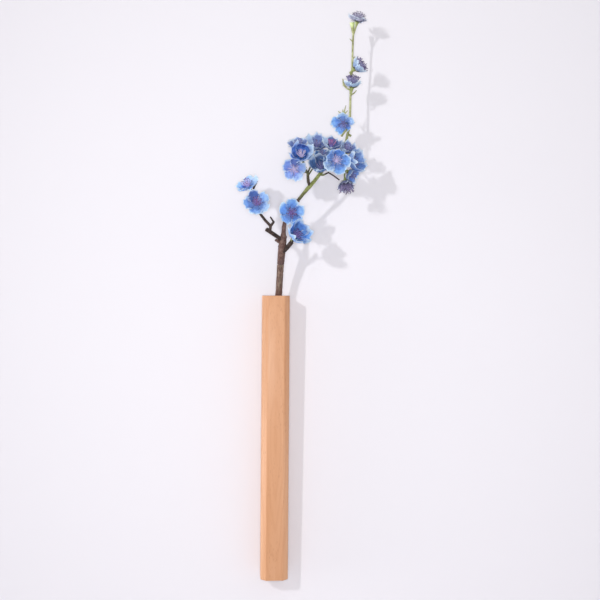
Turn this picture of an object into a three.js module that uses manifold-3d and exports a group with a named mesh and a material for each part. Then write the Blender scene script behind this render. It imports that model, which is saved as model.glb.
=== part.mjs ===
// A wall vase: a chamfered beech bar with a glass tube in it, hung by a keyhole plate, and the
// artificial blossom spray that stands in it.
// Millimetres, +Z up, the front faces -Y. The origin is the middle of the flat back, on the wall.

import * as THREE from 'three';
import { mergeVertices } from 'three/addons/utils/BufferGeometryUtils.js';
import Module from 'manifold-3d';

const wasm = await Module();
wasm.setup();

// Wooden body
const BODY_WIDTH = 29;
const BODY_HEIGHT = 300;
const BODY_CHAMFER = 5.6;
const END_EASE = 0.4;
const TOP = BODY_HEIGHT / 2;
const AXIS_Y = -BODY_WIDTH / 2;
const BORE_RADIUS = 8.4;
const BORE_SIDES = 20;
const DRILL_POINT = 3;
const SEAT_RADIUS = 10;
const SEAT_DEPTH = 3;
const FIT_GAP = 0.3;
const CUT_CLEAR = 1;
const ARC_SEGMENTS = 4;
const MERGE_DISTANCE = 1e-4;

// Glass tube
const TUBE_RADIUS = 8;
const TUBE_WALL = 1;
const TUBE_LENGTH = 150;
const RIM_RADIUS = 9.4;
const RIM_HEIGHT = 1.8;
const RIM_EASE = 0.5;
const TUBE_SIDES = 14;
const DOME_STEPS = 4;
const RIM_TOP = TOP - SEAT_DEPTH + FIT_GAP + RIM_HEIGHT;
const TUBE_BOTTOM = RIM_TOP - TUBE_LENGTH;

// Keyhole hanger
const PLATE_WIDTH = 14;
const PLATE_LENGTH = 44;
const PLATE_THICKNESS = 1.2;
const PLATE_SET_BACK = 0.1;
const PLATE_Z = 118;
const KEYHOLE_RADIUS = 4.5;
const SLOT_RADIUS = 2.2;
const SLOT_RISE = 8;
const POCKET_RADIUS = 5.2;
const POCKET_DEPTH = 4.9;
const SCREW_SPACING = 34;
const SCREW_HOLE_RADIUS = 1.7;
const SCREW_RADIUS = 1.3;
const SCREW_HEAD_RADIUS = 2.6;
const SCREW_HEAD_HEIGHT = 1;
const SCREW_LENGTH = 4.6;
const SCREW_SLOT_LENGTH = 8;
const SCREW_SLOT_WIDTH = 0.6;
const SCREW_SLOT_DEPTH = 0.4;
const SCREW_SIDES = 10;

// Blossom parts, along the blossom's own axis from the top of its calyx
const STEM_SIDES = 8;
const TWIG_SIDES = 6;
const STALK_SIDES = 5;
const FINE_RADIUS = 1.45;
const STEPS_PER_SPAN = 2;
const CALYX_LENGTH = 5;
const CALYX_RADIUS = 2.3;
const CALYX_RIM = 1;
const CUP_WALL = 0.7;
const CUP_HOLLOW = 0.45;
const STALK_RADIUS = 0.95;
const STALK_FOOT = 3.5;
const STALK_BEND = 6.5;
const PEG_RADIUS = 1.05;
const PEG_HEIGHT = 2.2;
const PETAL_THICKNESS = 0.8;
const PETAL_HOLE = 1.4;
const PETALS = 5;
const POINTS_PER_PETAL = 4;
const PETAL_NOTCH = 0.7;
const PETAL_MIDDLE = 0.5;
const FOLDED_REACH = 0.45;
const CUP_POWER = 1.7;
const CAP_SLACK = 0.15;
const CAP_BASE = 2 * FIT_GAP + PETAL_THICKNESS + CAP_SLACK;
const CAP_PROFILE = [[2, 0], [2.2, 0.8], [1.3, 2.3], [0, 2.6]];
const FILAMENT_ROOT = [0.9, 1.6];
const FILAMENT_SIDES = 3;
const FILAMENT_RADIUS = 0.32;
const ANTHER_RADIUS = 0.8;
const OPEN_STAMENS = { count: 5, reach: 5.4, lean: 60 };

const v3 = (x, y, z) => new THREE.Vector3(x, y, z);

// Solids and meshes

// A closed geometry as a solid, with its corners merged, empty triangles dropped and its faces outward
function solidOf(geometry) {
  const bare = new THREE.BufferGeometry();
  bare.setAttribute('position', geometry.getAttribute('position').clone());
  if (geometry.index) bare.setIndex(geometry.index.clone());
  const merged = mergeVertices(bare, MERGE_DISTANCE);
  const place = merged.getAttribute('position');
  const corner = (i) => new THREE.Vector3().fromBufferAttribute(place, i);
  const triangles = [];
  let volume = 0;
  for (let i = 0; i < merged.index.count; i += 3) {
    const [a, b, c] = [0, 1, 2].map((k) => merged.index.getX(i + k));
    if (a === b || b === c || c === a) continue;
    triangles.push([a, b, c]);
    volume += corner(a).dot(corner(b).cross(corner(c)));
  }
  const outward = triangles.flatMap(([a, b, c]) => (volume > 0 ? [a, b, c] : [a, c, b]));
  return new wasm.Manifold(new wasm.Mesh({
    numProp: 3,
    vertProperties: new Float32Array(place.array),
    triVerts: new Uint32Array(outward),
  }));
}

function geometryOf(solid) {
  const mesh = solid.getMesh();
  const geometry = new THREE.BufferGeometry();
  geometry.setAttribute('position', new THREE.BufferAttribute(mesh.vertProperties, 3));
  geometry.setIndex(new THREE.BufferAttribute(mesh.triVerts, 1));
  geometry.computeVertexNormals();
  return geometry;
}

const object = new THREE.Group();

function addPiece(name, solid, look) {
  const mesh = new THREE.Mesh(geometryOf(solid), new THREE.MeshStandardMaterial(look));
  mesh.name = name;
  object.add(mesh);
}

// A closed skin over rings of points. An open run of rings is capped at both ends, and a closed
// run joins the last ring to the first.
function skin(rings, closed) {
  const sides = rings[0].length;
  const positions = rings.flat().flatMap((p) => [p.x, p.y, p.z]);
  const index = [];
  const runs = closed ? rings.length : rings.length - 1;
  for (let i = 0; i < runs; i += 1) {
    const near = i * sides;
    const far = ((i + 1) % rings.length) * sides;
    for (let k = 0; k < sides; k += 1) {
      const next = (k + 1) % sides;
      index.push(near + k, near + next, far + next, near + k, far + next, far + k);
    }
  }
  if (!closed) {
    const last = (rings.length - 1) * sides;
    for (let k = 1; k < sides - 1; k += 1) {
      index.push(0, k + 1, k, last, last + k, last + k + 1);
    }
  }
  const geometry = new THREE.BufferGeometry();
  geometry.setAttribute('position', new THREE.Float32BufferAttribute(positions, 3));
  geometry.setIndex(index);
  return geometry;
}

// A lathe about +Z
function revolve(profile, sides) {
  const points = profile.map(([radius, height]) => new THREE.Vector2(radius, height));
  return new THREE.LatheGeometry(points, sides).rotateX(Math.PI / 2);
}

// A tapered stem through the points of a path, with one radius for each point. Only a thick stem has steps
// between its points.
function limb(path, radii, sides) {
  const curve = new THREE.CatmullRomCurve3(path.map((p) => v3(...p)), false, 'centripetal');
  const spans = path.length - 1;
  const steps = spans === 1 || sides < STEM_SIDES ? spans : spans * STEPS_PER_SPAN;
  const across = v3(0, 1, 0);
  const rings = [];
  for (let i = 0; i <= steps; i += 1) {
    const along = (i / steps) * spans;
    const low = Math.min(Math.floor(along), spans - 1);
    const radius = THREE.MathUtils.lerp(radii[low], radii[low + 1], along - low);
    const centre = curve.getPoint(i / steps);
    const tangent = curve.getTangent(i / steps);
    across.addScaledVector(tangent, -across.dot(tangent)).normalize();
    const beside = tangent.clone().cross(across);
    const ring = [];
    for (let k = 0; k < sides; k += 1) {
      const turn = (2 * Math.PI * k) / sides;
      ring.push(centre.clone()
        .addScaledVector(across, radius * Math.cos(turn))
        .addScaledVector(beside, radius * Math.sin(turn)));
    }
    rings.push(ring);
  }
  return skin(rings, false);
}

// Wooden body

function stadium(radius, rise) {
  const shape = new THREE.Shape();
  shape.absarc(0, 0, radius, Math.PI, 2 * Math.PI);
  shape.absarc(0, rise, radius, 0, Math.PI);
  return shape;
}

// A cut from the back face forward to a depth, from an outline seen from the front
function backCut(shape, z, depth) {
  const cut = new THREE.ExtrudeGeometry(shape, {
    depth: depth + CUT_CLEAR, bevelEnabled: false, curveSegments: ARC_SEGMENTS,
  });
  return solidOf(cut.rotateX(Math.PI / 2).translate(0, CUT_CLEAR, z));
}

function bodySection() {
  const half = BODY_WIDTH / 2;
  const flat = half - BODY_CHAMFER;
  const corners = [[flat, -half], [half, -flat], [half, flat], [flat, half],
    [-flat, half], [-half, flat], [-half, -flat], [-flat, -half]];
  return new THREE.Shape(corners.map(([x, y]) => new THREE.Vector2(x, y)));
}

function woodBody() {
  const bar = new THREE.ExtrudeGeometry(bodySection(), {
    depth: BODY_HEIGHT - 2 * END_EASE,
    bevelSize: END_EASE,
    bevelOffset: -END_EASE,
    bevelThickness: END_EASE,
    bevelSegments: 1,
  });
  bar.translate(0, AXIS_Y, -TOP + END_EASE);
  const floor = TUBE_BOTTOM - FIT_GAP;
  const seat = TOP - SEAT_DEPTH;
  const bore = revolve([[0, floor - DRILL_POINT], [BORE_RADIUS, floor], [BORE_RADIUS, seat],
    [SEAT_RADIUS, seat], [SEAT_RADIUS, TOP + CUT_CLEAR], [0, TOP + CUT_CLEAR]], BORE_SIDES);
  bore.translate(0, AXIS_Y, 0);
  const plateRun = PLATE_LENGTH - PLATE_WIDTH;
  const recess = stadium(PLATE_WIDTH / 2 + FIT_GAP, plateRun);
  const recessDepth = PLATE_SET_BACK + PLATE_THICKNESS + FIT_GAP;
  let wood = solidOf(bar).subtract(solidOf(bore));
  wood = wood.subtract(backCut(recess, PLATE_Z - plateRun / 2, recessDepth));
  wood = wood.subtract(backCut(stadium(POCKET_RADIUS, SLOT_RISE), PLATE_Z - SLOT_RISE / 2, POCKET_DEPTH));
  for (const end of [-1, 1]) {
    const hole = revolve([[0, 0], [SCREW_RADIUS + FIT_GAP, 0],
      [SCREW_RADIUS + FIT_GAP, SCREW_LENGTH + FIT_GAP], [0, SCREW_LENGTH + FIT_GAP]], SCREW_SIDES);
    hole.rotateX(Math.PI / 2).translate(0, -PLATE_SET_BACK, PLATE_Z + (end * SCREW_SPACING) / 2);
    wood = wood.subtract(solidOf(hole));
  }
  return wood;
}

// Glass tube with a round bottom and a flat rim

function arcPoints(radius, centre, from, to) {
  const points = [];
  for (let i = 0; i <= DOME_STEPS; i += 1) {
    const turn = THREE.MathUtils.lerp(from, to, i / DOME_STEPS);
    points.push([radius * Math.cos(turn), centre + radius * Math.sin(turn)]);
  }
  return points;
}

function waterTube() {
  const inside = TUBE_RADIUS - TUBE_WALL;
  const dome = TUBE_BOTTOM + TUBE_RADIUS;
  const outer = arcPoints(TUBE_RADIUS, dome, -Math.PI / 2, 0);
  const inner = arcPoints(inside, dome, 0, -Math.PI / 2);
  outer[0][0] = 0;
  inner[inner.length - 1][0] = 0;
  const profile = [...outer, [TUBE_RADIUS, RIM_TOP - RIM_HEIGHT], [RIM_RADIUS, RIM_TOP - RIM_HEIGHT],
    [RIM_RADIUS, RIM_TOP - RIM_EASE], [RIM_RADIUS - RIM_EASE, RIM_TOP],
    [inside + RIM_EASE, RIM_TOP], [inside, RIM_TOP - RIM_EASE], ...inner];
  return solidOf(revolve(profile, TUBE_SIDES).translate(0, AXIS_Y, 0));
}

// Keyhole plate: the screw head goes in at the round hole and the slot above it slides down on the shank

function hangerPlate() {
  const run = PLATE_LENGTH - PLATE_WIDTH;
  const shape = stadium(PLATE_WIDTH / 2, run);
  const keyhole = new THREE.Path();
  const round = run / 2 - SLOT_RISE / 2;
  const neck = Math.asin(SLOT_RADIUS / KEYHOLE_RADIUS);
  keyhole.absarc(0, round, KEYHOLE_RADIUS, Math.PI / 2 + neck, 2.5 * Math.PI - neck);
  keyhole.absarc(0, round + SLOT_RISE, SLOT_RADIUS, 0, Math.PI);
  shape.holes.push(keyhole);
  for (const end of [-1, 1]) {
    const hole = new THREE.Path();
    hole.absarc(0, run / 2 + (end * SCREW_SPACING) / 2, SCREW_HOLE_RADIUS, 0, 2 * Math.PI);
    shape.holes.push(hole);
  }
  const plate = new THREE.ExtrudeGeometry(shape, {
    depth: PLATE_THICKNESS, bevelEnabled: false, curveSegments: ARC_SEGMENTS,
  });
  plate.rotateX(Math.PI / 2).translate(0, -PLATE_SET_BACK, PLATE_Z - run / 2);
  let solid = solidOf(plate);
  for (const end of [-1, 1]) {
    const rim = SCREW_HEAD_RADIUS + FIT_GAP;
    const sink = revolve([[0, 0], [SCREW_RADIUS + FIT_GAP, 0], [rim, -SCREW_HEAD_HEIGHT],
      [rim, -SCREW_HEAD_HEIGHT - CUT_CLEAR], [0, -SCREW_HEAD_HEIGHT - CUT_CLEAR]], SCREW_SIDES);
    sink.rotateX(Math.PI / 2).translate(0, -PLATE_SET_BACK - SCREW_HEAD_HEIGHT,
      PLATE_Z + (end * SCREW_SPACING) / 2);
    solid = solid.subtract(solidOf(sink));
  }
  return solid;
}

function hangerScrew(end) {
  const place = (geometry) => solidOf(geometry.rotateX(Math.PI / 2)
    .translate(0, -PLATE_SET_BACK, PLATE_Z + (end * SCREW_SPACING) / 2));
  const screw = revolve([[0, 0], [SCREW_HEAD_RADIUS, 0], [SCREW_RADIUS, SCREW_HEAD_HEIGHT],
    [SCREW_RADIUS, SCREW_LENGTH - SCREW_RADIUS], [0, SCREW_LENGTH]], SCREW_SIDES);
  const slot = new THREE.BoxGeometry(SCREW_SLOT_LENGTH, SCREW_SLOT_WIDTH, 2 * SCREW_SLOT_DEPTH);
  return place(screw).subtract(place(slot));
}

const BEECH = { color: 0xe0aa83, roughness: 0.6, metalness: 0 };
const GLASS = { color: 0xdfe8e6, roughness: 0.05, metalness: 0, transparent: true, opacity: 0.35 };
const STEEL = { color: 0xb9bcc0, roughness: 0.35, metalness: 1 };
const BARK = { color: 0x6b4f47, roughness: 0.8, metalness: 0 };
const DARK_BARK = { color: 0x3d302b, roughness: 0.8, metalness: 0 };
const GREEN = { color: 0x8a9a5a, roughness: 0.6, metalness: 0 };
const PETAL_BLUE = { color: 0x6f9fe6, roughness: 0.9, metalness: 0 };
const STAMEN_PURPLE = { color: 0x6a3f63, roughness: 0.7, metalness: 0 };

addPiece('wood_body', woodBody(), BEECH);
addPiece('water_tube', waterTube(), GLASS);
addPiece('hanger_plate', hangerPlate(), STEEL);
addPiece('hanger_screw_upper', hangerScrew(1), STEEL);
addPiece('hanger_screw_lower', hangerScrew(-1), STEEL);

// Sprigs of the spray. Each has limbs, every limb a path with a radius at each point, and plugs by one
// limb into the sprig that carries it. Some have empty calyx cups.
const SPRIGS = [
  {
    name: 'lower_stem',
    look: BARK,
    sides: STEM_SIDES,
    plug: { limb: 1, into: 'fork_stem' },
    limbs: [
      { path: [[-1.8, -14.2, 4], [-0.4, -14.4, 60], [1.6, -14.8, 115], [3.1, -15.6, 150], [3.8, -18.2, 167],
        [4.4, -24, 183]], radii: [2.4, 3.3, 3.4, 3.3, 3.2, 3.3] },
      { path: [[4.2, -22.8, 180], [4.9, -26.4, 190]], radii: [2.1, 2] },
    ],
  },
  {
    name: 'fork_stem',
    look: BARK,
    sides: STEM_SIDES,
    limbs: [
      { path: [[4.45, -24.4, 183.6], [5.4, -29.5, 198], [6.2, -31.5, 206], [6.8, -32.3, 212],
        [7, -32.8, 217], [7.7, -34, 225], [13.9, -36, 239.5], [21.8, -38, 249.7]],
      radii: [3.5, 3.8, 3.7, 3, 2, 1.9, 2.1, 1.9] },
      { path: [[6.4, -32, 209.5], [9.2, -32.6, 212.6]], radii: [3, 1.9] },
      { path: [[5.5, -31, 205], [-1.6, -32.2, 208.4]], radii: [1.9, 1.2] },
      { path: [[5, -30, 201], [1.8, -30.5, 202]], radii: [1.8, 1.1] },
    ],
  },
  {
    name: 'left_twig',
    look: DARK_BARK,
    sides: TWIG_SIDES,
    plug: { limb: 0, into: 'fork_stem' },
    limbs: [
      { path: [[5, -32.2, 208.6], [2, -33, 210.6], [-5.3, -36, 215.1], [-11.5, -38, 219]],
        radii: [1.9, 2.1, 2.2, 2.2] },
      { path: [[-7.5, -37, 217.5], [-6.9, -37.5, 222.4], [-12.8, -38, 228.4], [-17.6, -38, 234.6],
        [-21, -36, 243]], radii: [1.7, 1.6, 1.5, 1.3, 1] },
      { path: [[-7.2, -37.4, 221.8], [-3.2, -38, 227.2]], radii: [1.4, 1.2] },
      { path: [[-3.6, -38, 226.4], [-7.4, -39, 231.7]], radii: [1.1, 0.7] },
      { path: [[-20.4, -36.4, 241], [-22.6, -33, 251], [-25, -32.5, 259]], radii: [1.1, 1, 1] },
      { path: [[-25, -32.4, 258.6], [-24.6, -31.6, 262.4], [-20.8, -32.4, 269.4]], radii: [0.9, 1, 0.6] },
    ],
  },
  {
    name: 'right_twig',
    look: DARK_BARK,
    sides: TWIG_SIDES,
    plug: { limb: 0, into: 'fork_stem' },
    limbs: [
      { path: [[6.4, -29.6, 195.4], [8.2, -30.4, 197.6], [12.2, -33, 202], [15.4, -35.2, 206]],
        radii: [2.2, 2.5, 2.5, 2.4] },
      { path: [[14.8, -34.8, 205.2], [16.6, -35.4, 210.6]], radii: [2.2, 1.6] },
    ],
  },
  {
    name: 'main_branch',
    look: GREEN,
    sides: TWIG_SIDES,
    plug: { limb: 0, into: 'fork_stem' },
    limbs: [
      { path: [[17.6, -36.9, 244.4], [23.7, -38.4, 252.1]], radii: [1, 1] },
      { path: [[22.1, -38.1, 250.1], [27, -39, 256.3], [33.2, -41, 263.7], [37.8, -42, 268.8],
        [43.1, -43, 275.7], [52.2, -41, 288.3], [61, -36.4, 298], [69.5, -31, 306], [72, -28.8, 311]],
      radii: [1.8, 1.8, 2.4, 1.9, 1.9, 1.6, 2.1, 1.7, 1.7] },
    ],
  },
  {
    name: 'bare_twig',
    look: DARK_BARK,
    sides: TWIG_SIDES,
    plug: { limb: 0, into: 'main_branch' },
    limbs: [
      { path: [[43.8, -43.4, 275.6], [47, -44, 275.4], [52.6, -45, 278], [58.3, -46, 274.4],
        [63.9, -46.5, 270.2]], radii: [0.9, 1.1, 0.9, 0.8, 0.8] },
    ],
  },
  {
    name: 'cluster_twig',
    look: DARK_BARK,
    sides: TWIG_SIDES,
    plug: { limb: 0, into: 'main_branch' },
    limbs: [
      { path: [[33.2, -41.2, 264], [31.8, -42, 268.8], [31, -43, 278]], radii: [1.3, 1.8, 1.5] },
      { path: [[31, -43, 277], [27.6, -43.4, 279.4]], radii: [1, 0.5] },
      { path: [[31.2, -43, 274], [34.5, -43, 279.5], [38.5, -42, 285]], radii: [1, 0.9, 0.8] },
    ],
  },
  {
    name: 'side_twig',
    look: GREEN,
    sides: TWIG_SIDES,
    plug: { limb: 0, into: 'main_branch' },
    limbs: [
      { path: [[61, -36.4, 298], [66, -36.6, 293.5], [71, -38, 287.5]], radii: [1.1, 1.3, 1.3] },
    ],
  },
  {
    name: 'top_branch',
    look: GREEN,
    sides: TWIG_SIDES,
    plug: { limb: 0, into: 'main_branch' },
    limbs: [
      { path: [[70.6, -30, 308.2], [72.9, -28, 313.4]], radii: [0.9, 0.9] },
      { path: [[72.3, -28.5, 311.7], [74.3, -25.5, 320.7], [76.5, -23, 329.6], [77.6, -21, 346],
        [78, -20, 370.7], [79.4, -20, 390], [80.1, -20, 417.7], [80.4, -21, 429]],
      radii: [1.6, 1.5, 1.6, 1.3, 1.2, 1.2, 1.1, 1.1] },
      { path: [[74.8, -25, 322], [78.2, -25.4, 319.6]], radii: [1.1, 1.5] },
      { path: [[77.2, -22.2, 337], [73.4, -23.6, 338], [70.6, -24.8, 340.2]], radii: [0.9, 1, 1.1] },
      { path: [[68.4, -25.5, 342.4], [64, -26, 345.9]], radii: [1, 0.4] },
      { path: [[69.8, -25.5, 342.6], [72.6, -25.6, 352.2]], radii: [1.1, 0.4] },
      { path: [[70.4, -25.5, 342.4], [74.6, -26, 346.6]], radii: [1, 0.4] },
      { path: [[69.2, -26, 342.6], [69, -27.4, 347.4]], radii: [1, 0.4] },
      { path: [[76.4, -23.2, 329], [74, -28.6, 326.4], [70.6, -31.6, 323], [67.2, -32.6, 317.8]],
        radii: [1.2, 1.2, 1.2, 1.1] },
      { path: [[77, -31.5, 366.6], [73, -32, 368.6], [69.4, -32.2, 372], [68.2, -32.4, 378.6]],
        radii: [0.9, 1, 1.4, 0.6] },
      { path: [[78, -20, 364], [81.4, -21, 366], [84.1, -22, 369]], radii: [0.9, 0.8, 0.6] },
      { path: [[80.2, -20.2, 421], [76.6, -20, 424.4]], radii: [0.8, 0.45] },
      { path: [[79.8, -20, 402], [82.6, -20.4, 405.6]], radii: [0.8, 0.45] },
    ],
    cups: [
      { from: [80.4, -20.9, 427.6], to: [78.9, -21.8, 441], radius: 2.9 },
      { from: [70.8, -24.6, 339.6], to: [69.2, -25.6, 343.4], radius: 1.9 },
    ],
  },
];

// Blossoms: the sprig and the point that the stalk grows from, the top of the calyx, the way the blossom
// faces, its radius and the depth of its cup. Some are turned by a spin in degrees, one has a petal folded
// back, and some have a tuft of long stamens.
const BLOSSOMS = [
  { name: 'tip', on: 'top_branch', from: [80.4, -20.9, 428], at: [83.9, -25, 441.2],
    faces: [0.2, -0.28, 0.94], radius: 10.5, cup: 4, stamens: { count: 6, reach: 6.5, lean: 42 } },
  { name: 'upper_right', on: 'top_branch', from: [79, -20, 385], at: [81.5, -27, 390.5],
    faces: [0.78, -0.25, 0.57], radius: 8.5, cup: 7.5, stamens: { count: 6, reach: 11, lean: 34 } },
  { name: 'upper_front', on: 'top_branch', from: [78, -20, 362], at: [78, -32, 370],
    faces: [0.05, -0.3, 0.95], radius: 9, cup: 6.5, stamens: { count: 6, reach: 10.5, lean: 24 } },
  { name: 'upper_left', on: 'top_branch', from: [77, -22.4, 335], at: [69.7, -31, 333],
    faces: [-0.2, -0.8, -0.56], radius: 13, cup: 5, spin: 8, folded: 4 },
  { name: 'cluster_left', on: 'cluster_twig', from: [31, -43, 277], at: [24.6, -47.5, 293.4],
    faces: [-0.15, -0.85, 0.5], radius: 13, cup: 9 },
  { name: 'cluster_far_left', on: 'cluster_twig', from: [31, -43, 277.4], at: [23, -25.5, 306.4],
    faces: [-0.25, -0.55, 0.8], radius: 10.8, cup: 5 },
  { name: 'cluster_low_left', on: 'cluster_twig', from: [31, -43, 277.6], at: [17.1, -42, 281.2],
    faces: [-0.1, -0.98, -0.1], radius: 12.8, cup: 4.5, spin: 3 },
  { name: 'cluster_back', on: 'cluster_twig', from: [31, -43, 277], at: [41.2, -31, 306],
    faces: [0, -0.7, 0.71], radius: 12, cup: 7 },
  { name: 'cluster_inner', on: 'main_branch', from: [52.2, -41, 288.3], at: [46.9, -39.2, 294.2],
    faces: [-0.1, -0.78, 0.62], radius: 8.8, cup: 4.5 },
  { name: 'cluster_top', on: 'main_branch', from: [57, -38.4, 294], at: [55.4, -40.5, 305],
    faces: [0.1, -0.65, 0.75], radius: 10.5, cup: 6 },
  { name: 'cluster_far_right', on: 'main_branch', from: [61, -36.4, 298], at: [71.6, -39.5, 301],
    faces: [0.15, -0.65, 0.74], radius: 9, cup: 5.5 },
  { name: 'cluster_front', on: 'main_branch', from: [52.2, -41, 288.3], at: [59.3, -59, 287.8],
    faces: [0, -1, 0.05], radius: 14.8, cup: 5, spin: -2 },
  { name: 'cluster_middle', on: 'main_branch', from: [46, -42.4, 279.8], at: [44.6, -48.4, 281],
    faces: [-0.2, -0.78, 0.58], radius: 11.5, cup: 9 },
  { name: 'cluster_right', on: 'side_twig', from: [71, -38, 287.5], at: [75.6, -45.5, 287.4],
    faces: [0.72, -0.62, 0.26], radius: 12.6, cup: 10 },
  { name: 'cluster_low_right', on: 'side_twig', from: [71, -38, 288], at: [75, -37, 279.4],
    faces: [0.66, -0.45, -0.6], radius: 9.6, cup: 6.5 },
  { name: 'cluster_low', on: 'side_twig', from: [71, -38, 287.6], at: [70, -47, 268.5],
    faces: [0.1, -0.35, -0.93], radius: 9, cup: 5.5, stamens: { count: 6, reach: 9.5, lean: 34 } },
  { name: 'left_high', on: 'left_twig', from: [-24.6, -32.6, 258], at: [-29.7, -30.2, 264],
    faces: [-0.47, -0.56, 0.69], radius: 13.4, cup: 4.5 },
  { name: 'left_low', on: 'left_twig', from: [-20.4, -36.4, 241.4], at: [-21.4, -47, 243.7],
    faces: [0, -0.93, 0.35], radius: 14.6, cup: 5, spin: 39 },
  { name: 'middle_high', on: 'fork_stem', from: [14.3, -36, 239.4], at: [14.2, -42, 235.6],
    faces: [0.05, -1, 0.05], radius: 14.2, cup: 5, spin: 18 },
  { name: 'middle_low', on: 'right_twig', from: [15.2, -35, 205.8], at: [17.6, -50, 210.8],
    faces: [0.48, -0.75, 0.45], radius: 14, cup: 9.5, spin: 10 },
];

function facing(blossom) {
  return v3(...blossom.faces).normalize();
}

// Turns a geometry made along +Z to the way that its blossom faces, at the top of the calyx
function seat(geometry, blossom) {
  const turn = new THREE.Quaternion().setFromUnitVectors(v3(0, 0, 1), facing(blossom));
  geometry.rotateZ(THREE.MathUtils.degToRad(blossom.spin ?? 0));
  geometry.applyQuaternion(turn);
  return geometry.translate(...blossom.at);
}

// Stalk, cup-shaped calyx and the peg that the petals are pushed over
function calyx(blossom) {
  const cup = revolve([[0, -CALYX_LENGTH], [STALK_RADIUS, -CALYX_LENGTH], [CALYX_RADIUS, -CALYX_RIM],
    [CALYX_RADIUS, 0], [PEG_RADIUS, 0], [PEG_RADIUS, PEG_HEIGHT], [0, PEG_HEIGHT]], STALK_SIDES);
  const axis = facing(blossom);
  const top = v3(...blossom.at);
  const foot = top.clone().addScaledVector(axis, -STALK_FOOT);
  const bend = top.clone().addScaledVector(axis, -STALK_BEND);
  const stalk = limb([blossom.from, bend.toArray(), foot.toArray()],
    [STALK_RADIUS, STALK_RADIUS, STALK_RADIUS], STALK_SIDES);
  return solidOf(seat(cup, blossom)).add(solidOf(stalk));
}

// Five-lobed cupped corolla, one pressed shell with a hole for the peg
function corolla(blossom) {
  const count = PETALS * POINTS_PER_PETAL;
  const rings = [];
  for (let i = 0; i < count; i += 1) {
    const turn = (2 * Math.PI * i) / count;
    const lobe = Math.sqrt(Math.abs(Math.cos((PETALS * turn) / 2)));
    const folded = Math.round((PETALS * turn) / (2 * Math.PI)) % PETALS === blossom.folded;
    const reach = blossom.radius * (PETAL_NOTCH + (1 - PETAL_NOTCH) * lobe) * (folded ? FOLDED_REACH : 1);
    const face = (share, height) => {
      const radius = PETAL_HOLE + (reach - PETAL_HOLE) * share;
      const rise = blossom.cup * ((radius - PETAL_HOLE) / (blossom.radius - PETAL_HOLE)) ** CUP_POWER;
      return v3(radius * Math.cos(turn), radius * Math.sin(turn), FIT_GAP + height + rise);
    };
    rings.push([face(0, 0), face(PETAL_MIDDLE, 0), face(1, 0),
      face(1, PETAL_THICKNESS), face(PETAL_MIDDLE, PETAL_THICKNESS), face(0, PETAL_THICKNESS)]);
  }
  return solidOf(seat(skin(rings, true), blossom));
}

// Stamen cap: a button with a socket for the peg and a crown of filaments with their anthers
function stamenCap(blossom) {
  const socket = PEG_RADIUS + FIT_GAP;
  const roof = PEG_HEIGHT + FIT_GAP;
  const place = (geometry) => solidOf(seat(geometry, blossom));
  const { count, reach, lean } = blossom.stamens ?? OPEN_STAMENS;
  let cap = place(revolve([[0, roof], [socket, roof], [socket, CAP_BASE],
    ...CAP_PROFILE.map(([radius, height]) => [radius, CAP_BASE + height])], count));
  const slant = THREE.MathUtils.degToRad(lean);
  for (let i = 0; i < count; i += 1) {
    const turn = (2 * Math.PI * (i + 0.5)) / count;
    const out = v3(Math.cos(turn), Math.sin(turn), 0);
    const root = v3(0, 0, CAP_BASE + FILAMENT_ROOT[1]).addScaledVector(out, FILAMENT_ROOT[0]);
    const along = v3(0, 0, Math.cos(slant)).addScaledVector(out, Math.sin(slant));
    const tip = root.clone().addScaledVector(along, reach);
    const path = [root.toArray(), tip.toArray()];
    cap = cap.add(place(limb(path, [FILAMENT_RADIUS, ANTHER_RADIUS], FILAMENT_SIDES)));
  }
  return cap;
}

// Empty calyx: a small funnel, hollow at its mouth
function emptyCalyx({ from, to, radius }) {
  const base = v3(...from);
  const axis = v3(...to).sub(base);
  const length = axis.length();
  const funnel = revolve([[0, 0], [STALK_RADIUS, 0], [radius, length], [radius - CUP_WALL, length],
    [0, length - CUP_HOLLOW * length]], STALK_SIDES);
  funnel.applyQuaternion(new THREE.Quaternion().setFromUnitVectors(v3(0, 0, 1), axis.normalize()));
  return solidOf(funnel.translate(...from));
}

// Each sprig is fused from its limbs, its empty cups and the stalks that it carries
const sprigSolids = new Map();
for (const sprig of SPRIGS) {
  let solid = wasm.Manifold.union(sprig.limbs.map(({ path, radii }) => {
    const sides = Math.max(...radii) < FINE_RADIUS ? STALK_SIDES : sprig.sides;
    return solidOf(limb(path, radii, sides));
  }));
  for (const cup of sprig.cups ?? []) {
    solid = solid.add(emptyCalyx(cup));
  }
  for (const blossom of BLOSSOMS.filter((one) => one.on === sprig.name)) {
    solid = solid.add(calyx(blossom));
  }
  sprigSolids.set(sprig.name, solid);
}

// The plug of a sprig, grown by the fit gap, is the socket in the sprig that takes it
function socketCut(sprig) {
  const { path, radii } = sprig.limbs[sprig.plug.limb];
  const ends = path.map((p) => v3(...p));
  const last = ends.length - 1;
  const extend = (end, inner) => end.add(end.clone().sub(inner).setLength(FIT_GAP));
  extend(ends[0], ends[1]);
  extend(ends[last], ends[last - 1]);
  return solidOf(limb(ends.map((p) => p.toArray()), radii.map((r) => r + FIT_GAP), sprig.sides));
}
for (const sprig of SPRIGS.filter((one) => one.plug)) {
  const taker = sprig.plug.into;
  sprigSolids.set(taker, sprigSolids.get(taker).subtract(socketCut(sprig)));
}

for (const sprig of SPRIGS) {
  addPiece(sprig.name, sprigSolids.get(sprig.name), sprig.look);
}
for (const blossom of BLOSSOMS) {
  addPiece(`petals_${blossom.name}`, corolla(blossom), PETAL_BLUE);
  addPiece(`stamens_${blossom.name}`, stamenCap(blossom), STAMEN_PURPLE);
}

export default object;
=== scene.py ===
import math
import random
from collections import namedtuple

import bmesh
import bpy
import numpy as np
from mathutils import Matrix, Vector, noise


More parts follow.
